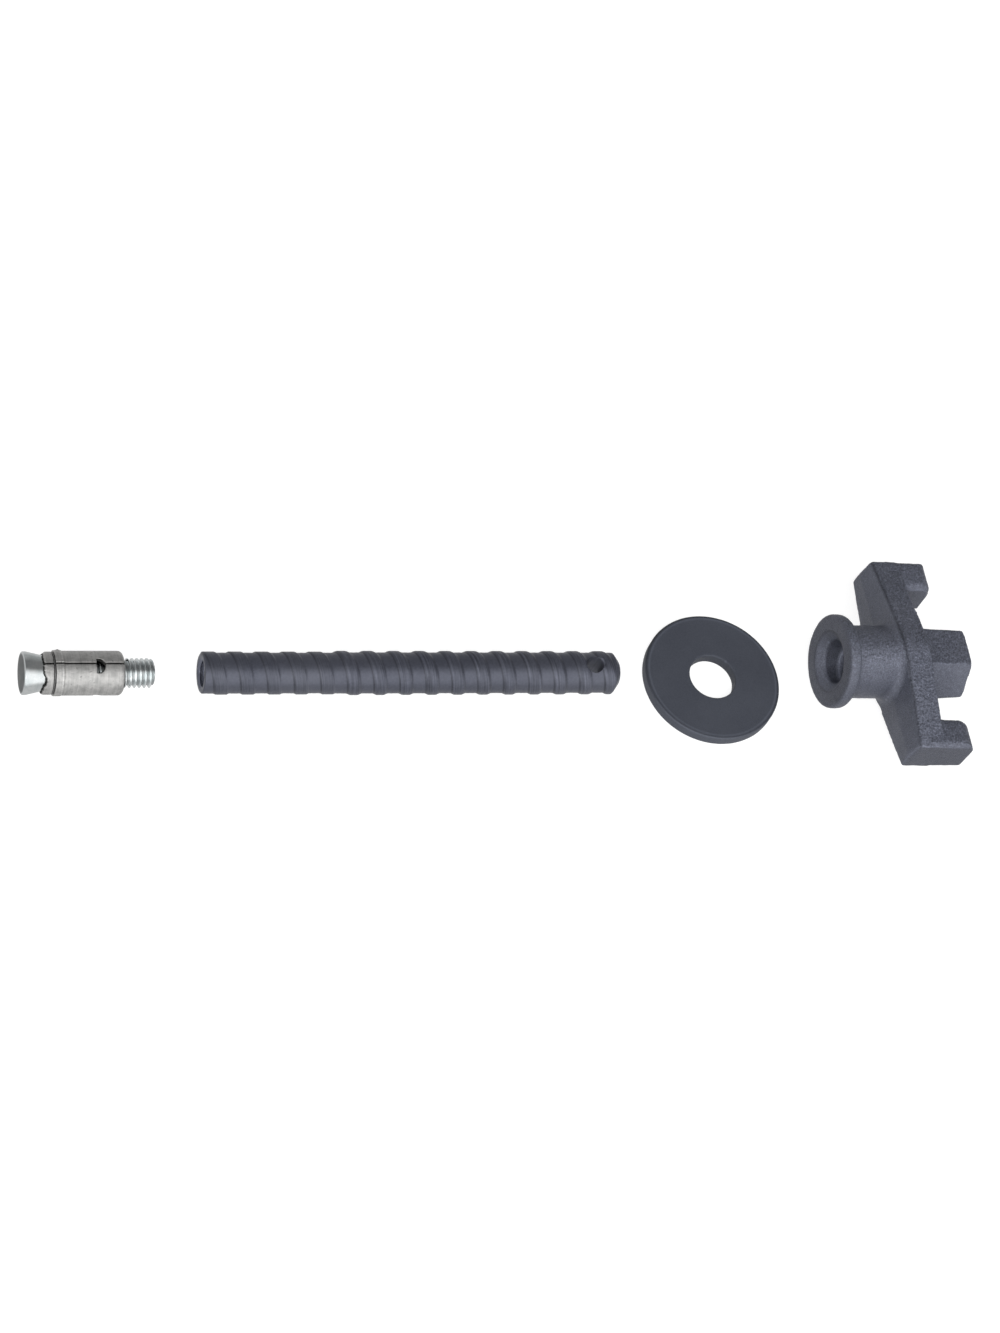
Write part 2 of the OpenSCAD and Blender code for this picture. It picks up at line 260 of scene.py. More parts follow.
def softened(obj, passes, group=""):
    soft = obj.modifiers.new("soft", "SMOOTH")
    soft.factor, soft.iterations, soft.vertex_group = 0.5, passes, group
    baked(obj)


def remeshed(name, node, voxel, passes, extra=None):
    """A CAD node's surface, joined with an extra closed mesh, as an even fine mesh with
    softened edges."""
    mesh = nodes[node].data.copy()
    mesh.materials.clear()
    bm = bmesh.new()
    bm.from_mesh(mesh)
    bmesh.ops.remove_doubles(bm, verts=bm.verts, dist=1e-7)
    bmesh.ops.triangulate(bm, faces=bm.faces)
    if extra is not None:
        bm.from_mesh(extra)
    bm.to_mesh(mesh)
    bm.free()
    obj = piece(name, mesh)
    fine = obj.modifiers.new("fine", "REMESH")
    fine.mode, fine.voxel_size, fine.use_smooth_shade = "VOXEL", voxel * MM, True
    softened(obj, passes)
    return obj


# Tools that work on all of a piece's vertices at once
def vertices(obj):
    """Points in millimetres, and normals."""
    co, no = (np.empty(len(obj.data.vertices) * 3) for _ in range(2))
    obj.data.vertices.foreach_get("co", co)
    obj.data.vertices.foreach_get("normal", no)
    return co.reshape(-1, 3) / MM, no.reshape(-1, 3)


def set_vertices(obj, points):
    obj.data.vertices.foreach_set("co", (points * MM).ravel())
    obj.data.update()


def carried(matrix, points):
    m = np.array(matrix)
    return points @ m[:3, :3].T + m[:3, 3]


def noises(points, scale, seed=0.0):
    shift = Vector((seed, 7.1 * seed, 3.3))
    return np.array([noise.noise(Vector(p) * scale + shift) for p in points])


def line_at(value, middle, half):
    """1 in the middle of a line, fading out over about its half width."""
    return np.exp(-((value - middle) / half) ** 2)


def above(value, start, width):
    """0 up to start, rising to 1 over the width."""
    return np.clip((value - start) / width, 0, 1)


def below(value, end, width):
    """1 that falls to 0 over the width before end."""
    return np.clip((end - value) / width, 0, 1)


def finish_piece(obj, node, mat, tone=1.0):
    """tone says how much lighter or darker than its finish the piece is, at each vertex: mostly
    painted light and shade, and on the rod and the nut also streaks and grain.
    """
    values = np.full(len(obj.data.vertices), tone, dtype=np.float32)
    obj.data.attributes.new("tone", "FLOAT", "POINT").data.foreach_set("value", values)
    obj.data.materials.clear()
    obj.data.materials.append(mat)
    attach(obj, nodes[node]["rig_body"])
    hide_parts(node)


# Shader tools
def tree_of(name):
    mat = bpy.data.materials.new(name)
    mat.use_nodes = True
    tree = mat.node_tree
    tree.nodes.clear()
    out = tree.nodes.new("ShaderNodeOutputMaterial")
    shader = tree.nodes.new("ShaderNodeBsdfPrincipled")
    tree.links.new(shader.outputs[0], out.inputs[0])
    return mat, tree, shader


def coords(tree, scale=(1, 1, 1), shift=(0, 0, 0)):
    tex = tree.nodes.new("ShaderNodeTexCoord")
    mapping = tree.nodes.new("ShaderNodeMapping")
    mapping.inputs["Location"].default_value = shift
    mapping.inputs["Scale"].default_value = scale
    tree.links.new(tex.outputs["Object"], mapping.inputs["Vector"])
    return mapping.outputs[0]


def ranged(tree, value, low, high, to=(0.0, 1.0), kind="SMOOTHSTEP"):
    span = tree.nodes.new("ShaderNodeMapRange")
    span.interpolation_type = kind
    for socket, number in zip(("From Min", "From Max", "To Min", "To Max"), (low, high, *to)):
        span.inputs[socket].default_value = number
    tree.links.new(value, span.inputs["Value"])
    return span.outputs[0]


def noise_of(tree, vector, scale, detail, rough, low, high, to=(0.0, 1.0)):
    tex = tree.nodes.new("ShaderNodeTexNoise")
    tex.inputs["Scale"].default_value = scale
    tex.inputs["Detail"].default_value = detail
    tex.inputs["Roughness"].default_value = rough
    tree.links.new(vector, tex.inputs["Vector"])
    return ranged(tree, tex.outputs["Fac"], low, high, to, "LINEAR")


def maths(tree, kind, a, b):
    calc = tree.nodes.new("ShaderNodeMath")
    calc.operation = kind
    for socket, value in zip(calc.inputs, (a, b)):
        if isinstance(value, (int, float)):
            socket.default_value = value
        else:
            tree.links.new(value, socket)
    return calc.outputs[0]


def mixed(tree, factor, a, b):
    mix = tree.nodes.new("ShaderNodeMix")
    mix.data_type = "RGBA"
    tree.links.new(factor, mix.inputs[0])
    for socket, value in ((mix.inputs[6], a), (mix.inputs[7], b)):
        if isinstance(value, tuple):
            socket.default_value = (*value, 1)
        else:
            tree.links.new(value, socket)
    return mix.outputs[2]


def dabbed(tree, colour, mask, share, base, gain):
    """Mixes a lighter or darker base into a colour, by a share of the mask."""
    return mixed(tree, maths(tree, "MULTIPLY", mask, share), colour, tuple(gain * c for c in base))


def bumped(tree, height, distance, strength, normal=None):
    bump = tree.nodes.new("ShaderNodeBump")
    bump.inputs["Strength"].default_value = strength
    bump.inputs["Distance"].default_value = distance
    tree.links.new(height, bump.inputs["Height"])
    if normal is not None:
        tree.links.new(normal, bump.inputs["Normal"])
    return bump.outputs[0]


def ridges(tree):
    """Follows the curvature of the mesh, bright on its ridges."""
    geometry = tree.nodes.new("ShaderNodeNewGeometry")
    return ranged(tree, geometry.outputs["Pointiness"], 0.52, 0.6, kind="LINEAR")


def attribute(tree, name):
    node = tree.nodes.new("ShaderNodeAttribute")
    node.attribute_name = name
    return node.outputs["Fac"]


def scaled(tree, colour, factor):
    node = tree.nodes.new("ShaderNodeVectorMath")
    node.operation = "SCALE"
    tree.links.new(colour, node.inputs[0])
    tree.links.new(factor, node.inputs["Scale"])
    return node.outputs["Vector"]


def around(tree, height):
    """Distance from an axis along X at a height, in metres."""
    length = tree.nodes.new("ShaderNodeVectorMath")
    length.operation = "LENGTH"
    tree.links.new(coords(tree, (0, 1, 1), (0, 0, -height)), length.inputs[0])
    return length.outputs["Value"]


def painted(name, dark, pale, grain_scale, grain_depth, rough, metal, wear, speck=0.0, rings=None):
    """Dark blue-grey finish: slow clouds of tone, fine grain, wear on the edges, pale specks
    on the casting, and turning rings on the rod's ribs."""
    mat, tree, shader = tree_of(name)
    plain = coords(tree)
    clouds = noise_of(tree, plain, 30, 4, 0.6, 0.35, 0.65)
    grain = noise_of(tree, plain, grain_scale, 5, 0.65, 0.3, 0.72)
    colour = mixed(tree, clouds, dark, pale)
    colour = dabbed(tree, colour, grain, 0.35, pale, 1.5)
    colour = dabbed(tree, colour, ridges(tree), wear, pale, 2.6)
    if speck:
        spots = noise_of(tree, plain, grain_scale * 1.25, 2, 0.5, 0.44, 0.66)
        colour = dabbed(tree, colour, spots, speck, pale, 2.4)
    tree.links.new(scaled(tree, colour, attribute(tree, "tone")), shader.inputs["Base Color"])
    shader.inputs["Metallic"].default_value = metal
    gloss = noise_of(tree, plain, grain_scale * 0.4, 3, 0.5, 0.3, 0.7, rough)
    tree.links.new(gloss, shader.inputs["Roughness"])
    normal = bumped(tree, grain, grain_depth, 0.6)
    if rings:
        along = coords(tree, (rings, rings * 0.012, rings * 0.012))
        line = noise_of(tree, along, 1.0, 3, 0.7, 0.35, 0.65)
        crest = ranged(tree, around(tree, ROD_R * MM), 0.0083, 0.0087, (0.25, 1.0))
        normal = bumped(tree, maths(tree, "MULTIPLY", line, crest), 0.00011, 0.6, normal)
    tree.links.new(normal, shader.inputs["Normal"])
    return mat


def plated(name, dark, pale, rough, blotch, metal=1.0, bump=0.00001, lines=0.0, streak=None):
    """Zinc: tone and gloss drift in blotches, duller where the tone attribute carries painted
    shade, with fine lines and dark spots or with streaks from turning."""
    mat, tree, shader = tree_of(name)
    plain = coords(tree)
    blotches = noise_of(tree, plain, blotch, 5, 0.62, 0.36, 0.64)
    colour = mixed(tree, blotches, dark, pale)
    if lines:
        fine = noise_of(tree, coords(tree, (1700, 25, 25)), 1.0, 3, 0.65, 0.35, 0.65)
        colour = dabbed(tree, colour, fine, lines, pale, 1.5)
        spots = noise_of(tree, plain, 620, 2, 0.5, 0.66, 0.72)
        colour = dabbed(tree, colour, spots, 0.55, dark, 0.45)
    tree.links.new(scaled(tree, colour, attribute(tree, "tone")), shader.inputs["Base Color"])
    shader.inputs["Metallic"].default_value = metal
    # The tone attribute carries painted light and shade; where it paints shade the zinc is made
    # duller too
    darkness = maths(tree, "SUBTRACT", 1.0, attribute(tree, "tone"))
    dull_in_painted_shade = maths(tree, "MULTIPLY", darkness, 0.5)
    gloss = noise_of(tree, plain, blotch * 2.3, 4, 0.6, 0.3, 0.7, rough)
    gloss = maths(tree, "MAXIMUM", maths(tree, "ADD", gloss, dull_in_painted_shade), 0.08)
    tree.links.new(gloss, shader.inputs["Roughness"])
    height = noise_of(tree, plain, blotch * 6, 5, 0.65, 0.25, 0.75)
    normal = bumped(tree, height, bump, 0.6)
    if streak:
        along = coords(tree, (streak, streak * 0.01, streak * 0.01))
        line = noise_of(tree, along, 1.0, 2, 0.6, 0.35, 0.65)
        normal = bumped(tree, line, 0.000008, 0.5, normal)
    tree.links.new(normal, shader.inputs["Normal"])
    return mat


rod_paint = painted(
    "rod_finish", dark=(0.07, 0.075, 0.1), pale=(0.09, 0.095, 0.12),
    grain_scale=900, grain_depth=0.00003, rough=(0.3, 0.42), metal=0.6, wear=0.2, rings=1500)
washer_paint = painted(
    "washer_finish", dark=(0.057, 0.063, 0.082), pale=(0.072, 0.079, 0.1),
    grain_scale=1500, grain_depth=0.00006, rough=(0.48, 0.6), metal=0.4, wear=0.25)
cast_paint = painted(
    "casting_finish", dark=(0.082, 0.0885, 0.116), pale=(0.118, 0.1255, 0.158),
    grain_scale=1650, grain_depth=0.0003, rough=(0.34, 0.46), metal=0.5, wear=0.35, speck=0.3)
bright = plated(
    "bright_zinc_finish", dark=(0.57, 0.61, 0.615), pale=(0.74, 0.76, 0.765),
    rough=(0.1, 0.2), blotch=200, bump=0.000004, streak=5000)
dull = plated(
    "dull_zinc_finish", dark=(0.31, 0.31, 0.305), pale=(0.48, 0.475, 0.465),
    rough=(0.33, 0.47), blotch=380, metal=0.85, bump=0.00004, lines=0.3)
wire = plated(
    "spring_wire_finish", dark=(0.15, 0.15, 0.15), pale=(0.28, 0.28, 0.28),
    rough=(0.3, 0.45), blotch=900)


# Cone bolt: slightly domed head, cone, and a stud whose thread runs out towards the cone
def make_cone_bolt():
    x0 = low("cone_bolt").x
    length = high("cone_bolt").x - x0
    dome, land, corner, slope = 0.4, 1.5, 0.5, math.tan(math.radians(13))
    shank_r, stud_r, thread_depth, chamfer = 5.8, 6.0, 1.12, 1.1
    dome_r = (HEAD_R ** 2 + dome ** 2) / (2 * dome)
    cone_start = dome + land
    cone_end = cone_start + (HEAD_R - shank_r) / slope
    thread_start, thread_end = cone_end + 1, length - 0.35
    form = thread_form(thread_depth)

    def on_dome(r):
        return dome_r - math.sqrt(dome_r ** 2 - r ** 2), r

    def on_cone(z):
        return z, HEAD_R - (z - cone_start) * slope

    def radius(share, turns, z):
        if z >= thread_end:
            return stud_r - thread_depth
        crest = shank_r + (stud_r - shank_r) * smoothstep(41, 42.5, z)
        r = crest - form(share) * smoothstep(thread_start + 0.1, thread_start + 2.2, z)
        if z > length - chamfer - 1:
            r = min(r, stud_r - chamfer + (length - z))
        return r

    skin = Skin(112)
    ring = skin.ring(*on_dome(1.5))
    skin.fan(0, ring)
    ring = skin.lathe(ring, [on_dome(r) for r in (3, 4.5, 6, 7, 7.7, 8.1)])
    ring = skin.lathe(ring, arc(0.87, HEAD_R - corner, corner, 180, 90, 6))
    ring = skin.lathe(ring, [(dome + land * 0.8, HEAD_R), (cone_start, HEAD_R - 0.02)])
    ring = skin.lathe(ring, [on_cone(z) for z in (cone_start + 0.5, 6, 10, cone_end - 0.8)])
    ring = skin.lathe(ring, [(cone_end - 0.2, shank_r + 0.08), (cone_end + 0.4, shank_r),
                             (cone_end + 1, shank_r)])
    front, back = skin.helix(thread_start, thread_end, FINE_PITCH, 14, radius)
    skin.bridge(ring, front)
    ring = skin.lathe(back, [(length - 0.12, 4.75), (length, 4.5), (length, 2.0)])
    skin.fan(length, ring)
    place = laid(x0, ANCHOR_AXIS)
    obj = skin.build("cone_bolt_turned", place)

    # Painted reflection and light: the head's face is darkened for the darker surroundings it would
    # mirror, and the thread gets painted light that is brightest on its crests, with painted shade
    # in its roots
    x, y, z = carried(place.inverted(), vertices(obj)[0]).T
    r = np.hypot(x, y)
    face = below(r, 7.9, 0.25) * below(z, 1.2, 0.3)
    cut = 0.12 + 0.2 * above(r, 5.6, 0.2) - 0.45 * below(r, 5.2, 0.35)
    tone = (1 - 0.75 * face) * (1 + above(z, cone_end + 3, 2) * cut)
    finish_piece(obj, "cone_bolt", bright, tone)


make_cone_bolt()


# Shield segments: die-cast zinc with softened edges, a faint grain and a ragged nose
def make_segment(index):
    node = f"segment_{index}"
    obj = remeshed(f"{node}_cast", node, 0.2, 3)
    nose, tail = low(node).x, high(node).x

    def angle_of(points):
        return np.arctan2(-points[:, 1], points[:, 2] - ANCHOR_AXIS)

    # The cone has worn the thin front edge back in the middle of each segment, and the rear
    # end is a little shorter than the solid's
    worn_by, worn_over, shorter_by, shorter_over = 1.25, 3.2, 0.8, 12
    middle = math.radians(SLIT_TURN + SEGMENT_ANGLE * (index - 0.5))
    p, _ = vertices(obj)
    turn = (angle_of(p) - middle + math.pi) % math.tau - math.pi
    worn = worn_by * line_at(np.degrees(turn), -9, 20)
    for waves, seed in ((6.4, 5), (17, 8)):
        worn += 0.3 * noises([(t * waves, index, 0) for t in turn], 1.0, seed)
    p[:, 0] += (np.clip(worn, -0.1, 2) * below(p[:, 0], nose + worn_over, worn_over)
                - shorter_by * above(p[:, 0], tail - shorter_over, shorter_over))
    set_vertices(obj, p)

    p, q = vertices(obj)
    lift = 0.03 * noises(p, 1.6, index) + 0.018 * noises(p, 4.5, index + 3)
    if index == 3:
        # A small bead on the band
        bead_x, bead_angle, band_r = nose + 6.6, math.radians(-55), 8.9
        bead = line_at(p[:, 0], bead_x, 0.7) * (np.abs(p[:, 0] - bead_x) < 2)
        bead *= line_at(angle_of(p) * band_r, bead_angle * band_r, 0.9)
        lift += 0.4 * bead
    set_vertices(obj, p + q * lift[:, None])

    # Painted shade inside and in the slits, and a painted highlight as a pale line behind the
    # groove
    p, q = vertices(obj)
    y, z = p[:, 1], p[:, 2] - ANCHOR_AXIS
    r = np.hypot(y, z)
    across = np.abs(q[:, 1] * z - q[:, 2] * y) / np.maximum(r, 0.1)
    dark = np.maximum(below(r, 8.2, 0.25), above(across, 0.45, 0.3) * below(r, 8.75, 0.2))
    tone = (1 - 0.75 * dark) * (1 + 0.4 * line_at(p[:, 0], nose + 7.5, 0.3))
    finish_piece(obj, node, dull, tone)


for k in (1, 2, 3):
    make_segment(k)


# Spring ring: round wire in the shield's groove, open on one side
def make_ring():
    x = (low("spring_ring").x + high("spring_ring").x) / 2
    wire_r, ring_r, gap = 0.3, 8.2, 16
    steps, sides = 150, 14
    start, sweep = SLIT_TURN + SEGMENT_ANGLE + gap / 2 + 180, 360 - gap
    place = laid(x, ANCHOR_AXIS)
    section = [polar(wire_r, math.tau * k / sides, 0)[:2] for k in range(sides)]
    rows = []
    for i in range(steps + 1):
        t = math.radians(start + sweep * i / steps)
        rows.append([place @ Vector(polar(ring_r + dr, t, dz)) * MM for dr, dz in section])
    obj = piece("spring_ring_wire", bar_mesh("spring_ring_wire", rows), 50)
    finish_piece(obj, "spring_ring", wire)


make_ring()


# Rod: rolled bar with one wide right-handed rib, turned down at its socket end
def make_rod():
    length = high("threaded_rod").x - ROD_X
    core, turned_r, turned_end, rib_start = 8.25, 8.7, 55.4, -3.2
    nose, nose_r = 3, 5.25
    z0, z1 = 0.45, length - 2.35
    socket_r, drill_r, s0, s1 = 6.0, 5.1, 0.25, 26.0
    hole_from_end, hole_r, hole_turn = 12, 3.75, math.radians(4)
    form = thread_form(socket_r - drill_r)

    def outline(z):
        if z < turned_end:
            return turned_r
        if z > length - nose:
            return ROD_R - (z - (length - nose)) * (ROD_R - nose_r) / nose
        return min(ROD_R, turned_r + (z - turned_end))

    def radius(share, turns, z):
        if z <= z0 or z >= z1:
            return core
        d = abs((share + 0.5) % 1.0 - 0.5) * COARSE_PITCH
        lift = 1 - smoothstep(1.35, 3.4, d)
        wave = 0.03 * math.sin(2.3 * z) * math.sin(0.7 * z + 3 * turns)
        floor_r = core + 0.14 * smoothstep(52, 60, z)
        r = floor_r + (ROD_R - floor_r) * lift + wave * (1 - lift)
        return min(r, outline(z))

    def socket_radius(share, turns, z):
        if z <= s0:
            return socket_r
        if z >= s1:
            return drill_r
        r = drill_r + form(share) * (1 - smoothstep(s1 - 2, s1, z))
        return max(r, socket_r - (z - s0) * 1.2)

    skin = Skin(112)
    front, back = skin.helix(z0, z1, COARSE_PITCH, 34, radius, begin=rib_start)
    ring = skin.lathe(back, [(z1 + 0.02, core - 0.03), (length - 1.2, 6.8), (length - 0.35, 5.7),
                             (length - 0.08, 5.3), (length, 5.0), (length, 2.5)])
    skin.fan(length, ring)
    # Mouth and inner thread of the socket, then the drill's point
    mouth = skin.lathe(front, [(0.12, 8.0), (0.0, 7.8), (0.0, 6.35), (0.1, 6.15)])
    front, back = skin.helix(s0, s1, FINE_PITCH, 12, socket_radius)
    skin.bridge(mouth, front)
    ring = skin.lathe(back, [(28, drill_r), (30.2, 1.4)])
    skin.fan(31.0, ring)
    place = laid(ROD_X, ROD_R, turn=288)
    obj = skin.build("rod_rolled", place, 42)

    # Cross hole with a slight countersink, cut through both walls
    hole_x = ROD_X + length - hole_from_end
    half = [(12, 4.9), (8.9, 4.4), (8.3, hole_r)]
    profile = [(-z, r) for z, r in half] + half[::-1]
    cutter = Skin(64)
    first = cutter.ring(*profile[0])
    last = cutter.lathe(first, profile[1:])
    cutter.faces += [first[::-1], last]
    tool = cutter.build("cutter", Matrix.Translation((hole_x, 0, ROD_R))
                        @ Matrix.Rotation(hole_turn, 4, "X"))
    cut = obj.modifiers.new("hole", "BOOLEAN")
    cut.operation, cut.solver, cut.object = "DIFFERENCE", "EXACT", tool
    baked(obj)
    bpy.data.objects.remove(tool)
    obj.data.set_sharp_from_angle(angle=math.radians(42))

    # Streaks along the rib, and painted shade as fine dark lines at its edges, weaker on the
    # turned-down part
    p, _ = vertices(obj)
    x, y, z = carried(place.inverted(), p).T
    turns = np.arctan2(y, x) / math.tau
    share = (z - rib_start) / COARSE_PITCH - turns
    count = np.floor(share + 0.5)
    d = (share - count) * COARSE_PITCH
    streak = np.array([noise.noise(Vector(at)) for at in zip(d * 3.4, turns * 4.0, count)])
    on_rib = below(np.abs(d), 2.9, 0.5)
    early = below(z, 56, 2)
    edges = ((0.5 + 0.2 * early) * line_at(d, -2.85, 0.33)
             + 0.25 * (1 - early) * line_at(d, -1.1, 0.22)
             + (0.2 - 0.32 * early) * line_at(d, 2.75, 0.28))
    tone = (1 + (0.6 - 0.3 * early) * streak * on_rib) * (1 - edges * (1 - 0.25 * early))
    tone *= 1 - 0.08 * on_rib * early
    # Painted light inside the socket and inside the cross hole, and darker on the end face round
    # the socket
    outside = above(np.hypot(x, y), 7.6, 0.4)
    tone = (tone * outside + 1.6 * (1 - outside)) * (1 - 0.3 * below(z, 0.25, 0.2))
    from_hole = np.hypot(p[:, 0] - hole_x, p[:, 1] + (p[:, 2] - ROD_R) * math.sin(hole_turn))
    in_hole = (from_hole < hole_r + 0.1) & (p[:, 2] < 17.3)
    finish_piece(obj, "threaded_rod", rod_paint, np.where(in_hole, 1.1, tone))


make_rod()


# Washer: blanked plate, rolled over at its upper edge, very slightly uneven
def make_washer():
    lo, hi = low("washer"), high("washer")
    x, y = (lo.x + hi.x) / 2, (lo.y + hi.y) / 2
    r, hole, t, edge = (hi.x - lo.x) / 2, 10.2, hi.z - lo.z, 0.9
    profile = [(t + 0.02, r - 2.1), (t + 0.08, r - 1.7), (t + 0.06, r - 1.3)]
    profile += arc(t - edge, r - edge, edge, 0, 90, 7) + arc(edge, r - edge, edge, 90, 180, 7)
    profile += [(0, k) for k in np.linspace(r - 2, hole + 1.2, 12)]
    profile += [(0, hole + 0.4), (0.1, hole + 0.15), (0.4, hole), (1.6, hole), (3.2, hole),
                (t - 0.4, hole), (t - 0.1, hole + 0.15), (t, hole + 0.4)]
    profile += [(t, k) for k in np.linspace(hole + 1.2, r - 2.5, 16)]
    skin = Skin(220)
    first = skin.ring(*profile[0])
    skin.bridge(skin.lathe(first, profile[1:]), first)
    obj = skin.build("washer_blanked", Matrix.Translation((x, y, 0)), 50)

    p, q = vertices(obj)
    side, top = 1 - np.abs(q[:, 2]), np.maximum(q[:, 2], 0)
    lift = (side * (0.05 * noises(p, 0.35) + 0.025 * noises(p, 1.1, 2) - 0.03)
            + top * (0.02 * noises(p, 0.25, 4) - 0.01))
    set_vertices(obj, p + q * lift[:, None])

    # A painted highlight along the rolled edge, painted shade on the rim behind it where it faces
    # up and away from the front, and painted shade in the hole
    p, q = vertices(obj)
    d = np.hypot(p[:, 0] - x, p[:, 1] - y)
    rim = above(d, r - 1.2, 0.5) * np.clip(q[:, 1] + q[:, 2], 0, 1)
    tone = 1 + 0.45 * np.clip(q[:, 2], 0, 1) * line_at(d, r - 1.7, 0.35)
    tone *= (1 - 0.4 * rim) * np.where(d < hole + 0.2, 0.75, 1)
    finish_piece(obj, "washer", washer_paint, tone)


make_washer()


# Wing nut: sand casting with soft edges, a pitted skin and the coarse thread in its bore
def nut_frame():
    """The nut's own frame, drawn along Z from the flange's face, as the source lays it."""
    flange_t, flange_round, lug_len = 5.4, 1.5, 16.2
    tilt = math.atan((FLANGE_R - HUB_H / 2) / (WING_END - flange_t + flange_round))
    drop = FLANGE_R * math.cos(tilt) + (flange_t - flange_round) * math.sin(tilt)
    middle = WING_OFFSET + (WING_T + lug_len) / 2
    x = high("washer").x + 17.5
    about_middle = (Matrix.Translation((x + middle, 0, drop))
                    @ Matrix.Rotation(math.radians(1.2), 4, "Z")
                    @ Matrix.Translation((-middle, 0, 0)))
    return about_middle @ Matrix.Rotation(math.radians(90) + tilt, 4, "Y")


def bore_ridge(place):
    """The coarse thread inside the nut, as one closed helical bar that runs into the wall."""
    centre, start, steps = 11.8, math.radians(45), 60
    root_r, z_min, z_max = 9.9, 2.2, 60.0
    section = ((root_r, -2.3), (9.0, -2.0), (8.45, -1.5), (8.4, 0), (8.45, 1.5), (9.0, 2.0),
               (root_r, 2.3))
    first, last = int(-0.7 * steps), int(4.15 * steps)
    rows = []
    for i in range(first, last + 1):
        t, z = math.tau * i / steps + start, centre + COARSE_PITCH * i / steps
        fade = smoothstep(first, first + 18, i)
        row = [polar(root_r - (root_r - r) * fade, t, min(max(z + dz, z_min), z_max))
               for r, dz in section]
        rows.append([place @ Vector(p) * MM for p in row])
    return bar_mesh("ridge", rows)


def fullness(up, span):
    """How far the wings' front faces stand in front of the solid's, in millimetres: 1 along the
    lower edges, and along the top edge 1.4 at the ridge and nothing at the tips."""
    at_bottom, at_ridge, top, tip = 1, 1.4, 15, 44
    share = np.clip(up / top, 0, 1)
    return at_bottom * (1 - share) + at_ridge * share * np.clip(1 - span / tip, 0, 1)


def front_edge(up, span, along):
    """1 on the crease along the wings' front top edge: an arc in the middle, and from there
    straight down to the tips."""
    sag, ridge, ridge_top, tip_top = FLANGE_R - HUB_H / 2, 3.87, 16.87, 8.4
    arched = np.sqrt(np.maximum(FLANGE_R ** 2 - span ** 2, 0)) - sag
    straight = ridge_top - (ridge_top - tip_top) * (span - ridge) / (SPAN_R - ridge)
    top = np.where(span > ridge, straight, arched)
    along = along + fullness(up, span)
    off = np.hypot(up - top, along - (WING_OFFSET + 0.35) - WING_LEAN * top)
    return line_at(off, 0, 0.75) * (along > 20)


def fitted(own):
    """Moves points of the nut, in its own frame, to where the casting departs from the solid."""
    up, span, side = -own[:, 0], np.abs(own[:, 1]), np.sign(own[:, 1])
    r, along = np.hypot(own[:, 0], own[:, 1]), own[:, 2]
    # The fillet round the neck leans back with the wings' front faces
    lean = WING_LEAN * np.abs(up)
    face = WING_OFFSET + lean
    near = (r > NECK_R) & (r < 19.4) & (along < face + 0.2) & (along > 20)
    leaned = np.minimum(along + lean, np.maximum(along, face))
    along = np.where(near, along + (leaned - along) * above(along, 21, 3), along)
    # The mould has left the front faces a little full
    in_front = below(along, 34, 5) * above(along, 21, 4) * above(r, NECK_R + 0.2, 1.2)
    along = along - fullness(up, span) * in_front
    # The lugs' inner sides are fuller than the solid's, with a bevel along their rim, which is
    # rounded at the upper rear corner
    half_h, rear, rear_lean, corner_at, corner_up, corner_r = 9.3, 56.4, 0.07, 49.25, 2.8, 6.5
    least_full, bevel = 0.9, 1.8
    behind = above(along, WING_END - 0.2, 0.8)
    rim = np.minimum(half_h - np.abs(up), rear - rear_lean * up - along)
    to_corner = corner_r - np.hypot(along - corner_at, up - corner_up)
    in_corner = (along > corner_at) & (up > corner_up)
    rim = np.where(in_corner, np.minimum(rim, to_corner), rim)
    inward = (least_full + bevel * above(rim, 0, bevel)) * below(span, 38, 3.5) * above(span, 24, 6)
    # The hexagon has draft, more on its lower near side
    hex_length, least_draft, near_draft = 19, 0.5, 0.9
    near_side = np.clip((-0.869 * own[:, 1] - 0.495 * up) / np.maximum(r, 1), 0, 1)
    draft = least_draft + near_draft * near_side
    draft *= np.clip(1 - (along - WING_END) / hex_length, 0, 1)
    draft *= above(r, 10.5, 1.5) * below(r, 24, 5)
    grown = 1 + behind * draft / np.maximum(r, 1)
    x, y = own[:, 0] * grown, own[:, 1] * grown - side * behind * inward
    return np.column_stack((x, y, along)), r


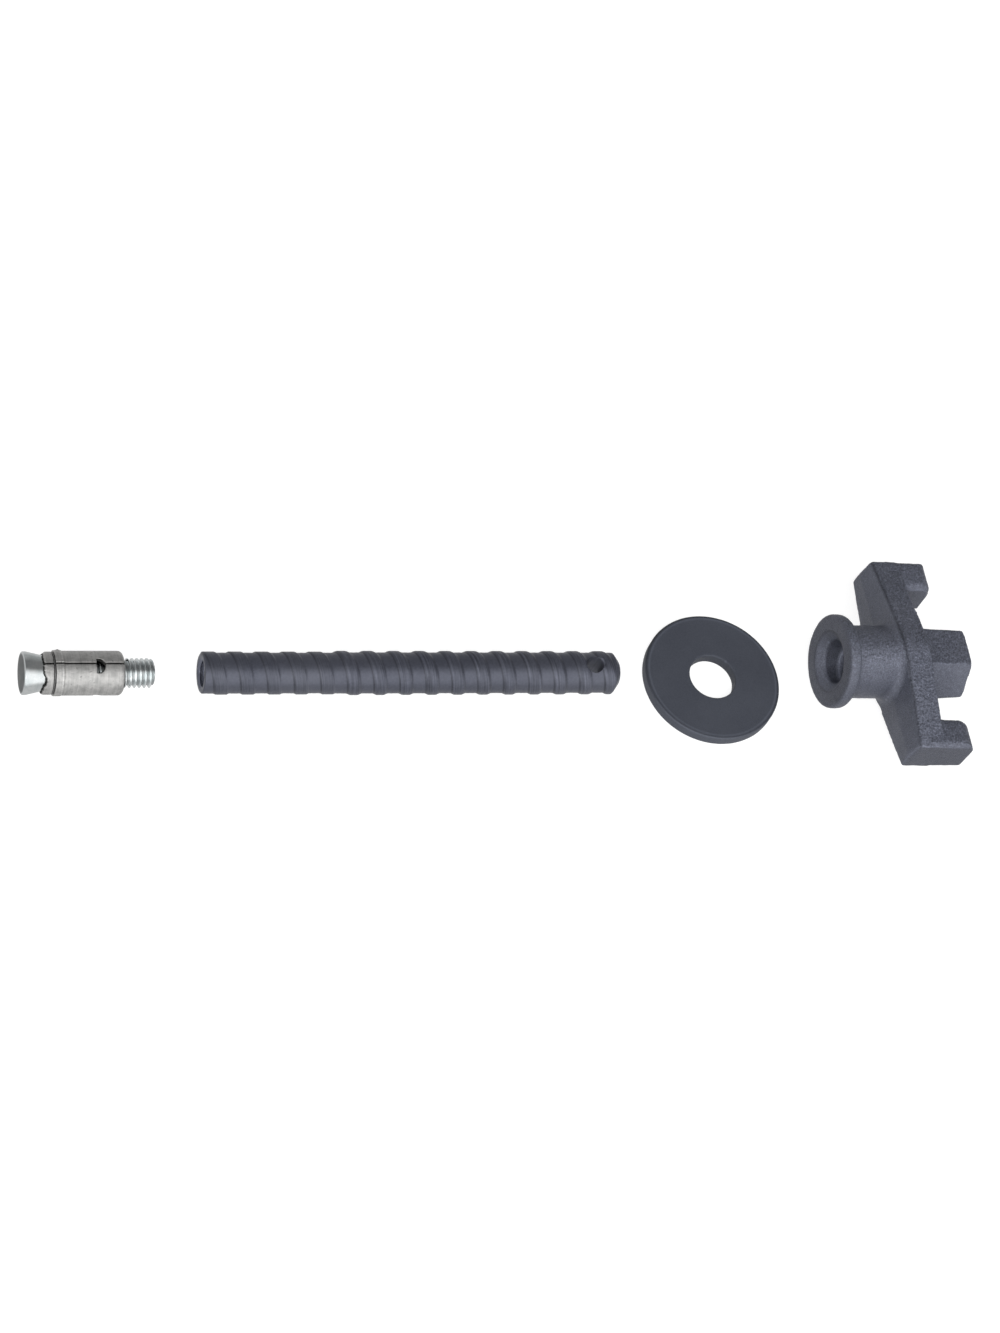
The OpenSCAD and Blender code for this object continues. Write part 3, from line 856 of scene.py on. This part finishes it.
def make_nut():
    place = nut_frame()
    obj = remeshed("wing_nut_cast", "wing_nut", 0.48, 9, bore_ridge(place))
    own, r = fitted(carried(place.inverted(), vertices(obj)[0]))
    set_vertices(obj, carried(place, own))
    group = obj.vertex_groups.new(name="fillet")
    for i in np.flatnonzero((r > NECK_R) & (r < 22) & (own[:, 2] > 22) & (own[:, 2] < 30.5)):
        group.add([int(i)], 1.0, "REPLACE")
    softened(obj, 40, "fillet")
    obj.vertex_groups.clear()

    # Cast grain, strongest on the faces that lay uppermost, and the crease along the wings
    p, q = vertices(obj)
    x, y, z = carried(place.inverted(), p).T
    up, span, r = -x, np.abs(y), np.hypot(x, y)
    crease = front_edge(up, span, z)
    calm = (r < 9.6) | ((z < 3.2) & (r < 13.5))
    top = np.clip(q[:, 2], 0, 1) ** 3
    lumps = 0.1 * noises(p, 0.12, 1) + 0.06 * noises(p, 0.5, 2)
    sand = 0.75 * noises(p, 1.45, 3) + 0.7 * noises(p, 2.3, 5)
    lift = (lumps + sand * (0.05 + 0.33 * top)) * np.where(calm, 0.12, 1) - 0.22 * crease
    set_vertices(obj, p + q * lift[:, None])

    # Grain and painted shade in the crease, then painted light on the thread ridge in the bore,
    # painted light and shade on the conical mouth by its side with a darker line round it, and a
    # darker flange
    mouth = below(r, 13.2, 0.4) * (z < 3.4) * (r > 9)
    grain = np.where(calm, 0, 0.12 + 0.6 * top) * np.clip(sand, -0.6, 0.8)
    tone = (1 - 0.55 * crease) * (1 + grain)
    tone *= 1 + 0.9 * below(r, 8.9, 0.3)
    tone *= 1 + mouth * np.clip(0.15 - 0.02 * up - 0.012 * y, -0.2, 0.3)
    tone *= 1 - 0.25 * line_at(r, 13, 0.35) * (z < 1)
    tone *= 1 - 0.1 * (z < 5.5) * (r > 9)
    tone *= 1 - 0.12 * (z < 0.6) * above(r, 9, 1) - 0.08 * mouth
    # Painted shade where the faces look along the row or at the viewer, and painted light on upward
    # faces that lean towards the viewer and on top of the near wing
    tone *= (1 - 0.17 * np.clip(-q[:, 0] - 0.3, 0, 1) - 0.2 * np.clip(-q[:, 1] - 0.6, 0, 1)
             + 0.35 * np.clip(-q[:, 1], 0, 0.3) * (q[:, 2] > 0.8))
    tone *= 1 + 0.1 * top * np.clip(0.5 - p[:, 1] / 10, 0, 1) * (z < 41)
    # Painted shade on the lugs' outer end faces, and a painted highlight along their inner upper
    # edges
    outward = (q @ np.array(place)[:3, :3])[:, 1] * np.sign(y)
    tone *= 1 - 0.26 * above(outward, 0.82, 0.1) * (span > 43)
    tone *= 1 + 0.35 * above(-outward, 0.6, 0.2) * above(up, 6.9, 0.6) * (span < 36) * (z > 41)
    finish_piece(obj, "wing_nut", cast_paint, tone)


make_nut()


# Pale floor, pale surroundings and soft light from the front
def plain_finish(name, tone, glow):
    mat, tree, shader = tree_of(name)
    shader.inputs["Base Color"].default_value = (tone, tone, tone, 1)
    shader.inputs["Roughness"].default_value = 0.9
    shader.inputs["Specular IOR Level"].default_value = 0.1
    shader.inputs["Emission Color"].default_value = (1, 1, 1, 1)
    shader.inputs["Emission Strength"].default_value = glow
    return mat


REACH, WALL_R, SIDES = 6, 5.8, 64
corners = [(-REACH, -REACH, 0), (REACH, -REACH, 0), (REACH, REACH, 0), (-REACH, REACH, 0)]
floor = bpy.data.meshes.new("floor")
floor.from_pydata(corners, [], [(0, 1, 2, 3)])
floor.materials.append(plain_finish("floor_finish", 0.3, 0.85))
floor_obj = piece("floor", floor)
floor_obj.visible_glossy = floor_obj.visible_diffuse = False
rim = [polar(WALL_R, math.tau * k / SIDES, z) for z in (-0.01, REACH) for k in range(SIDES)]
panels = [(k, (k + 1) % SIDES, (k + 1) % SIDES + SIDES, k + SIDES) for k in range(SIDES)]
wall = bpy.data.meshes.new("backdrop")
wall.from_pydata(rim, [], panels)
wall.materials.append(plain_finish("backdrop_finish", 0.0, 0.95))
wall_obj = piece("backdrop", wall)
for ray in ("visible_diffuse", "visible_glossy", "visible_transmission", "visible_shadow"):
    setattr(wall_obj, ray, False)

world = bpy.data.worlds.new("studio")
scene.world = world
world.use_nodes = True
tree = world.node_tree
tree.nodes.clear()
out = tree.nodes.new("ShaderNodeOutputWorld")
sky = tree.nodes.new("ShaderNodeBackground")
tex = tree.nodes.new("ShaderNodeTexCoord")
split = tree.nodes.new("ShaderNodeSeparateXYZ")
tree.links.new(tex.outputs["Generated"], split.inputs[0])
front = ranged(tree, maths(tree, "MULTIPLY", split.outputs["Y"], -1.0), -0.05, 0.6, (0.0, 1.15))
left = ranged(tree, maths(tree, "MULTIPLY", split.outputs["X"], -1.0), 0.3, 0.85, (0.0, 0.4))
back = ranged(tree, split.outputs["Y"], 0.6, 1.0, (0.0, 0.25))
upper = maths(tree, "ADD", maths(tree, "ADD", front, left), maths(tree, "ADD", back, 0.2))
over = ranged(tree, split.outputs["Z"], -0.3, 0.1)
under = maths(tree, "MULTIPLY", maths(tree, "SUBTRACT", 1.0, over), 0.62)
light = maths(tree, "ADD", maths(tree, "MULTIPLY", upper, over), under)
tree.links.new(light, sky.inputs["Color"])
tree.links.new(sky.outputs[0], out.inputs[0])


def area(name, place, at, size, watts, glossy=True):
    data = bpy.data.lights.new(name, "AREA")
    data.shape, data.size, data.size_y, data.energy = "RECTANGLE", *size, watts
    obj = bpy.data.objects.new(name, data)
    obj.location = place
    obj.rotation_mode = "QUATERNION"
    obj.rotation_quaternion = (Vector(at) - Vector(place)).to_track_quat("-Z", "Y")
    obj.visible_glossy = glossy
    obj.visible_camera = False
    scene.collection.objects.link(obj)


area("overhead", (0, -1.5, 2.0), (0, 0, 0), (3.2, 2.4), 40, glossy=False)
area("spot", (-0.75, -1.5, 1.2), (-0.15, 0, 0), (0.3, 0.3), 1.6)

scene.view_settings.view_transform = "Standard"
